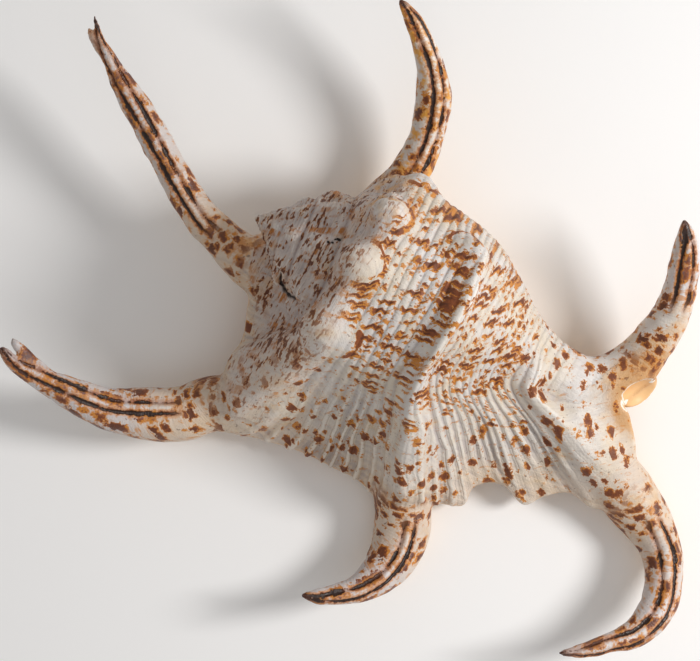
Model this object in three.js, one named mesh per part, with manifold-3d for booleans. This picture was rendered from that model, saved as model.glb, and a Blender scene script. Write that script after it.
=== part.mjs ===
// A spider conch shell, lying on its mouth with its back up.
// Millimetres, +Z up. The spire points to -X, the flared lip with its long fingers to -Y.
import * as THREE from "three";
import { ParametricGeometry } from "three/addons/geometries/ParametricGeometry.js";
import { mergeVertices } from "three/addons/utils/BufferGeometryUtils.js";
import Module from "manifold-3d";

const wasm = await Module();
wasm.setup();

// The coiling axis lies nearly level: it starts at the tip of the spire and runs to the front canal.
const SPIRE_TIP = new THREE.Vector2(-25.8, 31.4);
const AXIS_HEADING = THREE.MathUtils.degToRad(-27.6);
const AXIS_HEIGHT = [[0, 31], [34, 29.5], [56, 27.5], [80, 21], [104, 14]];

// Radius of the coiled body at each distance along the axis.
const BODY_RADIUS = [
  [0, 0.6], [4, 4.1], [7.6, 7.5], [12.5, 12.2], [18, 15.2], [24, 20], [30, 25.5], [34, 28.2],
  [44, 28.2], [56, 27], [66, 23.5], [74, 18.6], [83, 12.6], [91, 9.4], [104, 8.6],
];
const SUTURES = { first: 5.2, growth: 1.75, swell: 0.07, knobs: 8, knobHeight: 0.06 };
const SPIRE_LENGTH = 31;
const SPIRE_ROOT = 44;

// Edge of the flared lip, from beside the spire round to the notch by the canal.
const LIP_EDGE = [
  [-25.6, 22.6, 19], [-28.2, 13.4, 18], [-29.4, 5, 18], [-30.6, -2.6, 17.5], [-35.2, -10, 16],
  [-36.4, -27.4, 13], [-25.2, -31.2, 9], [-15, -34.4, 8], [-8.4, -37.4, 7.5], [-4, -39.8, 7],
  [1.2, -42.2, 7], [8, -48, 8], [15.4, -51.8, 9], [24.6, -49.6, 8], [32.4, -50.1, 7],
  [35.2, -45, 8.5], [39.8, -43.4, 9], [44.4, -44.6, 8.5], [49.6, -49.9, 7], [54.8, -47.6, 8],
  [62.4, -46.4, 9], [70, -51, 9], [78.6, -47.6, 10], [81.4, -37.8, 12], [80.2, -28, 14],
  [77.6, -20.4, 17], [73.4, -15.4, 19],
].map((p) => new THREE.Vector3(...p));
const LIP_THICKNESS = 3.4;
// Each slice of the lip springs from its own place along the axis.
const SLICE_ALONG = [[0, 12.5], [0.09, 22], [0.175, 31], [0.4615, 59], [0.85, 88], [1, 103]];

// Where the lip leaves the round of the body, in degrees above level, against the share of the lip's run.
const LEAVING_ANGLE = [[0, 5], [0.09, 16], [0.18, 40], [0.32, 40], [0.46, 44], [0.8, 46], [1, 60]];
const SLOPE_SAG = [[0, 2], [0.1, 3], [0.18, 1], [0.32, 2.4], [0.46, 0], [0.65, 2.4], [0.85, 0], [1, 0]];
const UNDERSIDE = [[0, 9], [0.12, 3], [0.22, -0.6], [0.5, -0.8], [0.66, 1], [0.8, 4], [1, 8]];
const LIP_HOLLOW = [[0, 11], [0.6, 11], [0.75, 8.6], [1, 9]];
const MOUTH_REACH = [[0, 17], [0.3, 21], [0.6, 21], [0.8, 15], [1, 8]];

// Fine spiral ribs, and the three broad keels that run out into fingers.
const RIB_COUNT = 42;
const RIB_HEIGHT = 0.42;
const RIBS_FROM = 0.2;
const KEELS = [
  { at: 0.175, width: 0.034, height: 5, rise: [4.6, 5.6] },
  { at: 0.4615, width: 0.03, height: 6, rise: [3.2, 4.4] },
  { at: 0.85, width: 0.032, height: 4.6, rise: [4, 6] },
];
// Blunt knobs on the keels: distance along the axis, angle round it, height and spread.
const KNOBS = [
  { along: 36.2, angle: 174, height: 3.6, spread: 5.5 },
  { along: 32.8, angle: 126, height: 6.4, spread: 5.2 },
  { along: 31.6, angle: 94, height: 6.4, spread: 5.2 },
  { along: 33, angle: 50, height: 4.6, spread: 7 },
  { along: 56.4, angle: 129, height: 5.4, spread: 5.5 },
  { along: 58.4, angle: 98, height: 1.6, spread: 7 },
];

// Each finger's centre line from its root to its tip, with half its width at each point.
// The first points lie inside the body, so that the finger rises out of the lip as a ridge.
const FINGERS = {
  spireFinger: {
    path: [
      [-8, 1, 16], [-18, 9, 16.5], [-26.8, 17, 17.4], [-32.6, 22.6, 18.6], [-37.4, 27.3, 19.6],
      [-41, 30.8, 20.4], [-44.6, 35.8, 21.4], [-48.7, 42.6, 23], [-54, 52.4, 25.5], [-59.1, 61.6, 28],
      [-64.1, 70, 31], [-68.9, 80, 34.5], [-71.2, 87.9, 37],
    ],
    half: [4, 6, 6.6, 5.9, 4.9, 4.8, 4.6, 4.3, 4.1, 3.7, 2.6, 1.3, 0.4],
  },
  hindFinger: {
    path: [
      [-8, -6, 28], [-20, -17, 20], [-30, -20.6, 14], [-39, -21, 12], [-47.6, -23.8, 12],
      [-57.1, -23.8, 14], [-67.7, -22.4, 18], [-76.2, -18.8, 22.5], [-84.6, -14.4, 27],
      [-92.6, -9.8, 31.5], [-97.3, -4.4, 35],
    ],
    half: [7, 8.5, 9, 8, 7.4, 7.2, 5.6, 4.5, 3.4, 2, 0.4],
  },
  lipFinger: {
    path: [
      [21, -20, 27], [17.4, -34, 17], [15.1, -45, 9.6], [15.1, -50.4, 7.4], [14.8, -56, 7],
      [13.4, -61.6, 8.4], [9.5, -68, 12], [2.8, -72.8, 16], [-4.2, -74.5, 19.5],
      [-9.8, -74.8, 22], [-14, -74.2, 24],
    ],
    half: [6, 7.5, 8.6, 8.2, 8, 7.2, 5.8, 4, 2.5, 1.7, 0.4],
  },
  frontFinger: {
    path: [
      [58, -22, 20], [68, -33, 14], [76.5, -43.5, 8.6], [83.4, -52.6, 6.6], [87.4, -59.7, 7.4],
      [89.1, -68, 10.6], [87.4, -77.6, 15], [81, -85, 19], [73.5, -87.6, 22.5],
      [65.8, -89.7, 25], [58.2, -90.4, 27],
    ],
    half: [6, 7.6, 8.4, 7.5, 6.1, 5.2, 4.9, 3.9, 2.7, 1.9, 0.4],
  },
  canal: {
    path: [
      [58, -14, 17], [68, -15, 14], [75, -13.6, 13], [80.3, -10, 13.5], [85, -4.4, 16],
      [89, 1.7, 19.5], [91.8, 9, 24], [93, 17, 28.5], [93.4, 24.6, 32.5], [92.4, 31, 36],
    ],
    half: [7, 7.6, 7.6, 7.2, 6.1, 5.2, 4.6, 4, 3.1, 0.4],
  },
  mouthFinger: {
    path: [
      [2, 27, 10], [8, 34, 11], [14.4, 41.2, 12.5], [18.5, 47.2, 14], [21.5, 53.6, 16],
      [23, 60, 18.5], [23.6, 66.6, 21.8], [22.6, 74, 25.6], [20.2, 80.8, 29.4], [17, 87, 33],
      [13.4, 92, 36],
    ],
    half: [8, 7, 5.9, 5.2, 4.7, 4.6, 4.5, 3.7, 2.7, 1.9, 0.4],
  },
};
// Two of the fingers end in a pair of prongs: these are the shorter ones.
const PRONGS = {
  spireProng: { path: [[-66.6, 74.5, 32], [-69.6, 78.6, 33], [-71.6, 81.8, 34.2], [-72.9, 84.6, 35]], half: [1.6, 1.5, 1.1, 0.3] },
  hindProng: { path: [[-82, -14.6, 26], [-87.4, -10.2, 28.5], [-91.6, -5.6, 31], [-94.3, -2.2, 33]], half: [2.2, 2, 1.5, 0.3] },
};
const FINGER_FLATNESS = 0.9;
// The mouth is a long slit under the body that runs on into the canal.
const MOUTH = {
  path: [
    [-12, 14, 6], [-4, 7, 8], [7, -0.8, 10], [20.9, -8.8, 10], [38, -15.4, 9], [54, -19, 7],
    [66, -18.4, 8], [77, -12.4, 7], [85, -4.4, 9], [90, 4, 14],
  ],
  half: [0.5, 5, 6.6, 6.8, 6, 4.6, 3.8, 3.2, 2.2, 0.5],
  tall: [0.5, 13, 20, 21, 17, 10, 7, 6, 5, 0.5],
};
// A web fills the corner between the first finger and the spire.
const SPIRE_WEB = { centre: [-23.4, 17.6, 18.6], radii: [8.4, 9.6, 6.4] };
// A lobe of the canal shows under the notch that is scooped out of the lip.
const CANAL_LOBE = { centre: [78.6, -15, 9.6], radii: [8.6, 7, 6] };
const NOTCH_SCOOP = { centre: [87.4, -18.6, 19], radii: [11, 7.6, 8.5] };

const SHELL_COLOUR = 0xe9dccb;
const LEVEL_TURN = 360;

// A smooth curve through [key, value] pairs.
function smoothValue(pairs, key) {
  const last = pairs.length - 1;
  if (key <= pairs[0][0]) return pairs[0][1];
  if (key >= pairs[last][0]) return pairs[last][1];
  const i = pairs.findIndex(([k]) => k > key) - 1;
  const slope = (j) => {
    const [a, b] = [pairs[Math.max(j - 1, 0)], pairs[Math.min(j + 1, last)]];
    return (b[1] - a[1]) / (b[0] - a[0]);
  };
  const span = pairs[i + 1][0] - pairs[i][0];
  const u = (key - pairs[i][0]) / span;
  const rise = u * u * (3 - 2 * u);
  return (
    pairs[i][1] * (1 - rise) +
    pairs[i + 1][1] * rise +
    span * u * (1 - u) * ((1 - u) * slope(i) - u * slope(i + 1))
  );
}

// A closed solid from a surface whose first direction goes all the way round and whose ends close to points.
function closedSolid(surface, around, along) {
  const grid = new ParametricGeometry((u, v, target) => surface(u % 1, v, target), around, along);
  grid.deleteAttribute("normal");
  grid.deleteAttribute("uv");
  return solidOf(grid);
}

function solidOf(geometry) {
  const merged = mergeVertices(geometry, 1e-3);
  const corners = merged.index.array;
  const kept = [];
  for (let i = 0; i < corners.length; i += 3) {
    const [a, b, c] = corners.slice(i, i + 3);
    if (a !== b && b !== c && a !== c) kept.push(a, b, c);
  }
  const solid = (triVerts) =>
    new wasm.Manifold(
      new wasm.Mesh({ numProp: 3, vertProperties: merged.attributes.position.array, triVerts }),
    );
  const made = solid(new Uint32Array(kept));
  return made.volume() > 0 ? made : solid(new Uint32Array(kept.reverse()));
}

function ballSolid({ centre, radii }) {
  const ball = new THREE.SphereGeometry(1, 16, 12);
  ball.deleteAttribute("normal");
  ball.deleteAttribute("uv");
  return solidOf(ball.scale(...radii).translate(...centre));
}

const axisAlong = new THREE.Vector3(Math.cos(AXIS_HEADING), Math.sin(AXIS_HEADING), 0);
const lipward = new THREE.Vector3(Math.sin(AXIS_HEADING), -Math.cos(AXIS_HEADING), 0);
const up = new THREE.Vector3(0, 0, 1);

function axisPoint(along) {
  return new THREE.Vector3(SPIRE_TIP.x, SPIRE_TIP.y, smoothValue(AXIS_HEIGHT, along)).addScaledVector(
    axisAlong,
    along,
  );
}

// A point on the round of the body: 0 degrees faces the lip, 90 is the top of the back.
function bodyPoint(along, degrees, radius) {
  const angle = THREE.MathUtils.degToRad(degrees);
  return axisPoint(along)
    .addScaledVector(lipward, radius * Math.cos(angle))
    .addScaledVector(up, radius * Math.sin(angle));
}

// The spire: whorls that swell between the turns of a growing spiral suture.
function spireSurface(u, v, target) {
  const along = v * SPIRE_ROOT;
  const cone = smoothValue(BODY_RADIUS, Math.min(along, SPIRE_LENGTH));
  const turns = Math.log(Math.max(along, 1) / SUTURES.first) / Math.log(SUTURES.growth) + u;
  const whorl = Math.sin(Math.PI * (turns - Math.floor(turns)));
  const knobs = SUTURES.knobHeight * whorl ** 2 * Math.cos(2 * Math.PI * SUTURES.knobs * u);
  const swell = cone * (SUTURES.swell * whorl + knobs);
  const closing = along > SPIRE_LENGTH ? 1 - ((along - SPIRE_LENGTH) / (SPIRE_ROOT - SPIRE_LENGTH)) ** 2 : 1;
  const radius = v === 0 ? 0 : (cone + swell) * Math.max(closing, 0);
  target.copy(bodyPoint(along, u * LEVEL_TURN, radius));
}

const lipEdge = new THREE.CatmullRomCurve3(LIP_EDGE);

// One slice of the body and its lip: over the back, down to the lip's edge, and back underneath.
const sections = new Map();
function sectionAt(share) {
  if (sections.has(share)) return sections.get(share);
  const along = smoothValue(SLICE_ALONG, share);
  const inset = 1.4 * (1 - THREE.MathUtils.smoothstep(along, 26, 32));
  const radius = smoothValue(BODY_RADIUS, along) - inset;
  const floor = smoothValue(UNDERSIDE, share);
  const edge = lipEdge.getPoint(share);
  const leaving = bodyPoint(along, smoothValue(LEAVING_ANGLE, share), radius);
  const sag = smoothValue(SLOPE_SAG, share);
  const down = (p, z) => p.clone().setZ(z);
  const slope = (t, drop) => leaving.clone().lerp(edge, t).addScaledVector(up, -drop);
  const mouthEdge = down(axisPoint(along).addScaledVector(lipward, smoothValue(MOUTH_REACH, share)), floor + 7);
  const inward = mouthEdge.clone().sub(edge).setZ(0).normalize();
  const points = [
    down(bodyPoint(along, 250, radius), floor + 1),
    down(bodyPoint(along, 215, radius), Math.max(axisPoint(along).z - 0.66 * radius, floor + 4)),
    ...[180, 148, 116, 84].map((degrees) => bodyPoint(along, degrees, radius)),
    leaving,
    slope(0.36, sag),
    slope(0.76, sag * 0.7),
    edge,
    edge.clone().addScaledVector(inward, 1.6).addScaledVector(up, -LIP_THICKNESS),
    down(edge.clone().lerp(mouthEdge, 0.5), floor + smoothValue(LIP_HOLLOW, share)),
    mouthEdge,
    down(bodyPoint(along, 292, radius), floor),
  ];
  const curve = new THREE.CatmullRomCurve3(points, true);
  const centre = points.reduce((sum, p) => sum.add(p), new THREE.Vector3()).divideScalar(points.length);
  sections.set(share, { curve, centre });
  return sections.get(share);
}

// How many steps each stretch of a slice takes: the ribbed back is the finest.
const SLICE_STEPS = [1, 2, 3, 3, 3, 3, 2, 3, 2, 1, 1, 1, 1, 1];
const EDGE_STRETCH = 9;
const sliceTimes = SLICE_STEPS.flatMap((steps, i) =>
  Array.from({ length: steps }, (_, k) => (i + k / steps) / SLICE_STEPS.length),
);

function knobSwell(point) {
  return KNOBS.reduce((sum, { along, angle, height, spread }) => {
    const centre = bodyPoint(along, angle, smoothValue(BODY_RADIUS, along));
    return sum + height * Math.exp(-point.distanceToSquared(centre) / (spread * spread));
  }, 0);
}

// Height of the ribs, keels and knobs above the smooth back.
function relief(share, time, point) {
  const across = time * SLICE_STEPS.length;
  const onBack = THREE.MathUtils.smoothstep(across, 0.5, 2) * (1 - THREE.MathUtils.smoothstep(across, 8, EDGE_STRETCH));
  const keels = KEELS.reduce((sum, { at, width, height, rise }) => {
    const reach = THREE.MathUtils.smoothstep(across, ...rise);
    return sum + reach * height * Math.exp(-(((share - at) / width) ** 2));
  }, 0);
  const ribbed =
    THREE.MathUtils.smoothstep(share, RIBS_FROM, RIBS_FROM + 0.06) *
    (1 - THREE.MathUtils.smoothstep(share, 0.86, 0.94));
  const ribs = ribbed * RIB_HEIGHT * Math.cos(2 * Math.PI * RIB_COUNT * (1 - share));
  return onBack * (ribs + keels + knobSwell(point));
}

// Slices lie wide apart beside the spire, then two to a rib, on its top and in the furrow.
const PLAIN_SLICES = 7;
const RIBBED_SLICES = Math.round(2 * RIB_COUNT * (1 - RIBS_FROM));
const sliceShares = [
  ...Array.from({ length: PLAIN_SLICES }, (_, i) => (i / PLAIN_SLICES) * RIBS_FROM),
  ...Array.from({ length: RIBBED_SLICES + 1 }, (_, i) => 1 - (RIBBED_SLICES - i) / (2 * RIB_COUNT)),
];
const LAST_ROW = sliceShares.length + 1;
function backSurface(u, v, target) {
  const row = Math.round(v * LAST_ROW);
  const share = sliceShares[THREE.MathUtils.clamp(row - 1, 0, sliceShares.length - 1)];
  const { curve, centre } = sectionAt(share);
  if (row === 0 || row === LAST_ROW) {
    target.copy(centre);
    return;
  }
  const time = sliceTimes[Math.round(u * sliceTimes.length) % sliceTimes.length];
  const point = curve.getPoint(time);
  const step = 0.004;
  const ahead = sectionAt(Math.min(share + step, 1)).curve.getPoint(time);
  const behind = sectionAt(Math.max(share - step, 0)).curve.getPoint(time);
  const normal = ahead.sub(behind).cross(curve.getTangent(time)).normalize().negate();
  target.copy(point).addScaledVector(normal, relief(share, time, point));
}

// A tapering tube along a curve. Its section is an ellipse that keeps its height upright.
function tube({ path, half, tall }, around, along) {
  const line = new THREE.CatmullRomCurve3(path.map((p) => new THREE.Vector3(...p)));
  const last = path.length - 1;
  const keyed = (values) => values.map((value, i) => [i / last, value]);
  const widths = keyed(half);
  const heights = tall ? keyed(tall) : widths.map(([key, value]) => [key, value * FINGER_FLATNESS]);
  return closedSolid(
    (u, v, target) => {
      const centre = line.getPoint(v);
      target.copy(centre);
      if (v === 0 || v === 1) return;
      const tangent = line.getTangent(v);
      const side = new THREE.Vector3().crossVectors(up, tangent).normalize();
      const rise = new THREE.Vector3().crossVectors(tangent, side);
      const angle = u * 2 * Math.PI;
      target.addScaledVector(side, smoothValue(widths, v) * Math.cos(angle));
      target.addScaledVector(rise, smoothValue(heights, v) * Math.sin(angle));
    },
    around,
    along,
  );
}

const FINGER_SIDES = 12;
const FINGER_RINGS = 18;
const PRONG_SIDES = 8;
const PRONG_RINGS = 6;
const MOUTH_SIDES = 12;
const MOUTH_RINGS = 22;
const UNDER_FLOOR = 60;

const pieces = [
  closedSolid(spireSurface, 24, 24),
  closedSolid(backSurface, sliceTimes.length, LAST_ROW),
  ballSolid(SPIRE_WEB),
  ballSolid(CANAL_LOBE),
  ...Object.values(FINGERS).map((finger) => tube(finger, FINGER_SIDES, FINGER_RINGS)),
  ...Object.values(PRONGS).map((prong) => tube(prong, PRONG_SIDES, PRONG_RINGS)),
];
const below = new THREE.BoxGeometry(600, 600, UNDER_FLOOR).translate(0, 0, -UNDER_FLOOR / 2);
below.deleteAttribute("normal");
below.deleteAttribute("uv");
const cuts = [
  tube(MOUTH, MOUTH_SIDES, MOUTH_RINGS),
  ballSolid(NOTCH_SCOOP),
  solidOf(below),
];

let shell = pieces.reduce((joined, piece) => joined.add(piece));
shell = cuts.reduce((left, cut) => left.subtract(cut), shell);
// The cuts can leave loose slivers: the shell is the one big body.
[shell] = shell.decompose().sort((a, b) => b.volume() - a.volume());

const { vertProperties, triVerts } = shell.getMesh();
const geometry = new THREE.BufferGeometry();
geometry.setAttribute("position", new THREE.BufferAttribute(vertProperties, 3));
geometry.setIndex(new THREE.BufferAttribute(triVerts, 1));
geometry.computeVertexNormals();

// The origin is under the middle of the shell, where it rests.
geometry.computeBoundingBox();
const middle = geometry.boundingBox.getCenter(new THREE.Vector3());
geometry.translate(-middle.x, -middle.y, -geometry.boundingBox.min.z);

const mesh = new THREE.Mesh(
  geometry,
  new THREE.MeshStandardMaterial({ color: SHELL_COLOUR, roughness: 0.5, metalness: 0 }),
);
mesh.name = "shell";

const group = new THREE.Group();
group.add(mesh);
export default group;
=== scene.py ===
"""A spider conch shell that lies on its mouth: six long fingers, a knobbed spire and a ribbed, flared lip."""

import math
from functools import reduce
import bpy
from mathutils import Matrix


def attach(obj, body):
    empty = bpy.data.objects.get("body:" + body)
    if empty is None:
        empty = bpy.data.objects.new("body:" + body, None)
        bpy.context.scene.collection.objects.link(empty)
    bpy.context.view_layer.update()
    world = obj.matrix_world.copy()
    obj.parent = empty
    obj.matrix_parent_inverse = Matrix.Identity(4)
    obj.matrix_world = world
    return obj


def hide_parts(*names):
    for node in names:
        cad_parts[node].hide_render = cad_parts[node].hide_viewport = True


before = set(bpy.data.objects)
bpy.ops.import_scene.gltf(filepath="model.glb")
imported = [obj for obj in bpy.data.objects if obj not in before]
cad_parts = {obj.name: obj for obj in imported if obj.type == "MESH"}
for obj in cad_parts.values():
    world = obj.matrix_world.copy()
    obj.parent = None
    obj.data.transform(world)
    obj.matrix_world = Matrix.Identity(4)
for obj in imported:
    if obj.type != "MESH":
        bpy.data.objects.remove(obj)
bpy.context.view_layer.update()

from types import SimpleNamespace

import bmesh
import bpy
import numpy as np
from mathutils import Vector, kdtree

MM = 0.001
# Shapes below are in millimetres about the middle of the view; the shell's own origin lies here among them.
ORIGIN = np.array([-0.142, 0.248, 0.0])

# ---- The shell's own measures ----
SPIRE_TIP = np.array([-25.8, 31.4])
AXIS_HEADING = math.radians(-27.6)
AXIS_HEIGHT = [(0, 31), (34, 29.5), (56, 27.5), (80, 21), (104, 14)]
BODY_RADIUS = [
    (0, 0.6), (4, 4.1), (7.6, 7.5), (12.5, 12.2), (18, 15.2), (24, 20), (30, 25.5), (34, 28.2),
    (44, 28.2), (56, 27), (66, 23.5), (74, 18.6), (83, 12.6), (91, 9.4), (104, 8.6),
]
SUTURE_FIRST, SUTURE_GROWTH, WHORL_SWELL = 5.2, 1.75, 0.07
WHORL_KNOBS, WHORL_KNOB_HEIGHT = 8, 0.06
SPIRE_LENGTH, SPIRE_ROOT = 31, 44

LIP_EDGE = [
    (-25.6, 22.6, 19), (-28.2, 13.4, 18), (-29.4, 5, 18), (-30.6, -2.6, 17.5), (-35.2, -10, 16),
    (-36.4, -27.4, 13), (-25.2, -31.2, 9), (-15, -34.4, 8), (-8.4, -37.4, 7.5), (-4, -39.8, 7),
    (1.2, -42.2, 7), (8, -48, 8), (15.4, -51.8, 9), (24.6, -49.6, 8), (32.4, -50.1, 7),
    (35.2, -45, 8.5), (39.8, -43.4, 9), (44.4, -44.6, 8.5), (49.6, -49.9, 7), (54.8, -47.6, 8),
    (62.4, -46.4, 9), (70, -51, 9), (78.6, -47.6, 10), (81.4, -37.8, 12), (80.2, -28, 14),
    (77.6, -20.4, 17), (73.4, -15.4, 19),
]
LIP_THICKNESS = 3.4
SLICE_ALONG = [(0, 12.5), (0.09, 22), (0.175, 31), (0.4615, 59), (0.85, 88), (1, 103)]
LEAVING_ANGLE = [(0, 5), (0.09, 16), (0.18, 40), (0.32, 40), (0.46, 44), (0.8, 46), (1, 60)]
SLOPE_SAG = [(0, 2), (0.1, 3), (0.18, 1), (0.32, 2.4), (0.46, 0), (0.65, 2.4), (0.85, 0), (1, 0)]
UNDERSIDE = [(0, 9), (0.12, 3), (0.22, -0.6), (0.5, -0.8), (0.66, 1), (0.8, 4), (1, 8)]
LIP_HOLLOW = [(0, 11), (0.6, 11), (0.75, 8.6), (1, 9)]
MOUTH_REACH = [(0, 17), (0.3, 21), (0.6, 21), (0.8, 15), (1, 8)]
# Corners of a slice: how many, the one over the top, the lip's edge, and the outside's end just under it.
SLICE_CORNERS, TOP_CORNER, EDGE_CORNER, OUTSIDE_END = 14, 5, 9, 9.15
# How far the body lies under the spire's skin.
SPIRE_INSET = 1.4

RIB_COUNT = 42
# A keel: where it is, how wide, how high, and over which corners of a slice it rises.
KEELS = [(0.175, 0.034, 5, (4.6, 5.6)), (0.4615, 0.03, 6, (3.2, 4.4)), (0.85, 0.032, 4.6, (4, 6))]
# A knob: distance along the axis, angle round it, height and spread.
KNOBS = [
    (36.2, 174, 3.6, 5.5), (32.8, 126, 6.4, 5.2), (31.6, 94, 6.4, 5.2), (33, 50, 4.6, 7),
    (56.4, 129, 5.4, 5.5), (58.4, 98, 1.6, 7),
]

# How flat a finger's section is, and over how many rows of its net each end closes.
FINGER_FLATNESS, CLOSING_ROWS = 0.9, 3
FINGERS = {
    "spire_finger": (
        [
            (-8, 1, 16), (-18, 9, 16.5), (-26.8, 17, 17.4), (-32.6, 22.6, 18.6), (-37.4, 27.3, 19.6),
            (-41, 30.8, 20.4), (-44.6, 35.8, 21.4), (-48.7, 42.6, 23), (-54, 52.4, 25.5), (-59.1, 61.6, 28),
            (-64.1, 70, 31), (-68.9, 80, 34.5), (-71.2, 87.9, 37),
        ],
        [4, 6, 6.6, 5.9, 4.9, 4.8, 4.6, 4.3, 4.1, 3.7, 2.6, 1.3, 0.4],
    ),
    "hind_finger": (
        [
            (-8, -6, 28), (-20, -17, 20), (-30, -20.6, 14), (-39, -21, 12), (-47.6, -23.8, 12),
            (-57.1, -23.8, 14), (-67.7, -22.4, 18), (-76.2, -18.8, 22.5), (-84.6, -14.4, 27),
            (-92.6, -9.8, 31.5), (-97.3, -4.4, 35),
        ],
        [7, 8.5, 9, 8, 7.4, 7.2, 5.6, 4.5, 3.4, 2, 0.4],
    ),
    "lip_finger": (
        [
            (21, -20, 27), (17.4, -34, 17), (15.1, -45, 9.6), (15.1, -50.4, 7.4), (14.8, -56, 7),
            (13.4, -61.6, 8.4), (9.5, -68, 12), (2.8, -72.8, 16), (-4.2, -74.5, 19.5),
            (-9.8, -74.8, 22), (-14, -74.2, 24),
        ],
        [6, 7.5, 8.6, 8.2, 8, 7.2, 5.8, 4, 2.5, 1.7, 0.4],
    ),
    "front_finger": (
        [
            (58, -22, 20), (68, -33, 14), (76.5, -43.5, 8.6), (83.4, -52.6, 6.6), (87.4, -59.7, 7.4),
            (89.1, -68, 10.6), (87.4, -77.6, 15), (81, -85, 19), (73.5, -87.6, 22.5),
            (65.8, -89.7, 25), (58.2, -90.4, 27),
        ],
        [6, 7.6, 8.4, 7.5, 6.1, 5.2, 4.9, 3.9, 2.7, 1.9, 0.4],
    ),
    "canal": (
        [
            (58, -14, 17), (68, -15, 14), (75, -13.6, 13), (80.3, -10, 13.5), (85, -4.4, 16),
            (89, 1.7, 19.5), (91.8, 9, 24), (93, 17, 28.5), (93.4, 24.6, 32.5), (92.4, 31, 36),
        ],
        [7, 7.6, 7.6, 7.2, 6.1, 5.2, 4.6, 4, 3.1, 0.4],
    ),
    "mouth_finger": (
        [
            (2, 27, 10), (8, 34, 11), (14.4, 41.2, 12.5), (18.5, 47.2, 14), (21.5, 53.6, 16),
            (23, 60, 18.5), (23.6, 66.6, 21.8), (22.6, 74, 25.6), (20.2, 80.8, 29.4), (17, 87, 33),
            (13.4, 92, 36),
        ],
        [8, 7, 5.9, 5.2, 4.7, 4.6, 4.5, 3.7, 2.7, 1.9, 0.4],
    ),
    "spire_prong": (
        [(-66.6, 74.5, 32), (-69.6, 78.6, 33), (-71.6, 81.8, 34.2), (-72.9, 84.6, 35)],
        [1.6, 1.5, 1.1, 0.3],
    ),
    "hind_prong": (
        [(-82, -14.6, 26), (-87.4, -10.2, 28.5), (-91.6, -5.6, 31), (-94.3, -2.2, 33)],
        [2.2, 2, 1.5, 0.3],
    ),
}
# The two furrows of each finger: degrees from the top to the ridge between them, the finger's length inside
# the body, where they begin after that, half the gap between them, and how honey-coloured the finger is.
FURROWS = {
    "spire_finger": (-6, 34, 3, 1.3, 0.25), "hind_finger": (16, 42, 4, 1.45, 0.1),
    "lip_finger": (-14, 34, 3, 1.4, 0.1), "front_finger": (-10, 38, 3, 1.85, 0.15),
    "canal": (8, 30, 14, 1.8, 0.25), "mouth_finger": (16, 22, -4, 1.4, 1.0),
}
# Chips in the slope under the spire: place in plan and radius.
CHIPS = [(-2.7, 24.9, 0.7), (-3.5, 24.6, 0.8), (-4.3, 24.6, 0.7), (-5.1, 24.3, 0.8), (-6, 24.1, 0.6)]
# Honey-coloured clouds: place in plan, radius and strength.
HONEY_CLOUDS = [
    (-29, 24, 9, 0.55), (-24, 14, 8, 0.3), (8, 38, 9, 0.7), (14, 44, 8, 0.8), (76, -14, 7, 0.5),
    (-18, -16, 10, 0.25), (88, -12, 7, 0.45),
]
MOUTH = (
    [
        (-12, 14, 6), (-4, 7, 8), (7, -0.8, 10), (20.9, -8.8, 10), (38, -15.4, 9), (54, -19, 7),
        (66, -18.4, 8), (77, -12.4, 7), (85, -4.4, 9), (90, 4, 14),
    ],
    [0.5, 5, 6.6, 6.8, 6, 4.6, 3.8, 3.2, 2.2, 0.5],
    [0.5, 13, 20, 21, 17, 10, 7, 6, 5, 0.5],
)
SPIRE_WEB = ((-23.4, 17.6, 18.6), (8.4, 9.6, 6.4))
CANAL_LOBE = ((78.6, -15, 9.6), (8.6, 7, 6))
NOTCH_SCOOP = ((86.6, -19.7, 17.8), (10, 6, 9.8))
APEX = ([(-21, 28.8, 30), (-23.4, 30, 30.6), (-25.4, 31, 31), (-27, 31.6, 31.2)], [2.4, 2, 1.3, 0.4])
# The open seam between the spire and the lip.
SEAM = [(-22.4, 19.3), (-19.9, 16.5), (-19.9, 14), (-18.8, 11.2), (-16.8, 9.2), (-14, 7.3)]

axis_along = np.array([math.cos(AXIS_HEADING), math.sin(AXIS_HEADING), 0.0])
lipward = np.array([math.sin(AXIS_HEADING), -math.cos(AXIS_HEADING), 0.0])
up = np.array([0.0, 0.0, 1.0])


# ---- Curves ----
def smooth_value(pairs, key):
    """A smooth curve through (key, value) pairs."""
    keys, values = np.array(pairs, float).T
    ahead = np.minimum(np.arange(len(keys)) + 1, len(keys) - 1)
    behind = np.maximum(np.arange(len(keys)) - 1, 0)
    slopes = (values[ahead] - values[behind]) / (keys[ahead] - keys[behind])
    key = np.clip(np.asarray(key, float), keys[0], keys[-1])
    i = np.clip(np.searchsorted(keys, key, side="right") - 1, 0, len(keys) - 2)
    span = keys[i + 1] - keys[i]
    u = (key - keys[i]) / span
    rise = u * u * (3 - 2 * u)
    bow = span * u * (1 - u) * ((1 - u) * slopes[i] - u * slopes[i + 1])
    return values[i] * (1 - rise) + values[i + 1] * rise + bow


def step_up(value, low, high):
    t = np.clip((np.asarray(value, float) - low) / (high - low), 0, 1)
    return t * t * (3 - 2 * t)


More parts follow.
